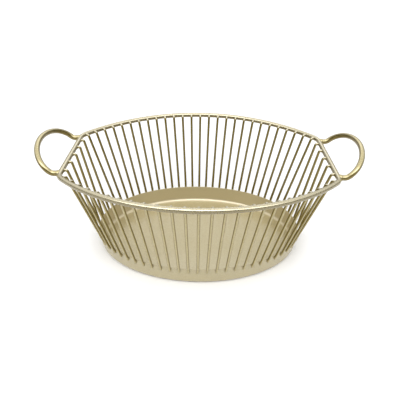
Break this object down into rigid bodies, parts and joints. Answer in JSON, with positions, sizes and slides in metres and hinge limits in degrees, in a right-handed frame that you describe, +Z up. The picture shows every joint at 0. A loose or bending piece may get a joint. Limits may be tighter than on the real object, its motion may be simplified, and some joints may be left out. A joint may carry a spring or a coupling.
{
  "type": "laundry basket",
  "caption": "Open oval laundry basket of upright round wire ribs between a rod rim and a shallow dished sheet base, with a raised loop handle at each end.",
  "frame": {"origin": "under the middle of the base pan, on the surface that the basket stands on", "axes": "+X along the length, through the two handles; +Y from the front to the back; +Z up"},
  "size_m": [0.4678, 0.3072, 0.1794],
  "materials": {
    "rim": "champagne gold metallic lacquer on steel rod, satin",
    "handle": "champagne gold metallic lacquer on steel rod, satin",
    "rib": "champagne gold metallic lacquer on steel wire, satin",
    "pan": "champagne gold metallic lacquer on drawn steel sheet, satin"
  },
  "bodies": {
    "root": {"rim_ring": "rim", "base_pan": "pan", "handle_right": "handle", "handle_left": "handle", "rib_pair_01": "rib", "rib_pair_02": "rib", "rib_pair_03": "rib", "rib_pair_04": "rib", "rib_pair_05": "rib", "rib_pair_06": "rib", "rib_pair_07": "rib", "rib_pair_08": "rib", "rib_pair_09": "rib", "rib_pair_10": "rib", "rib_pair_11": "rib", "rib_pair_12": "rib", "rib_pair_13": "rib", "rib_pair_14": "rib", "rib_pair_15": "rib", "rib_pair_16": "rib", "rib_pair_17": "rib", "rib_pair_18": "rib", "rib_pair_19": "rib", "rib_pair_20": "rib", "rib_pair_21": "rib", "rib_pair_22": "rib", "rib_pair_23": "rib", "rib_pair_24": "rib", "rib_pair_25": "rib", "rib_pair_26": "rib", "rib_pair_27": "rib", "rib_pair_28": "rib", "rib_pair_29": "rib", "rib_pair_30": "rib", "rib_pair_31": "rib"}
  },
  "joints": []
}
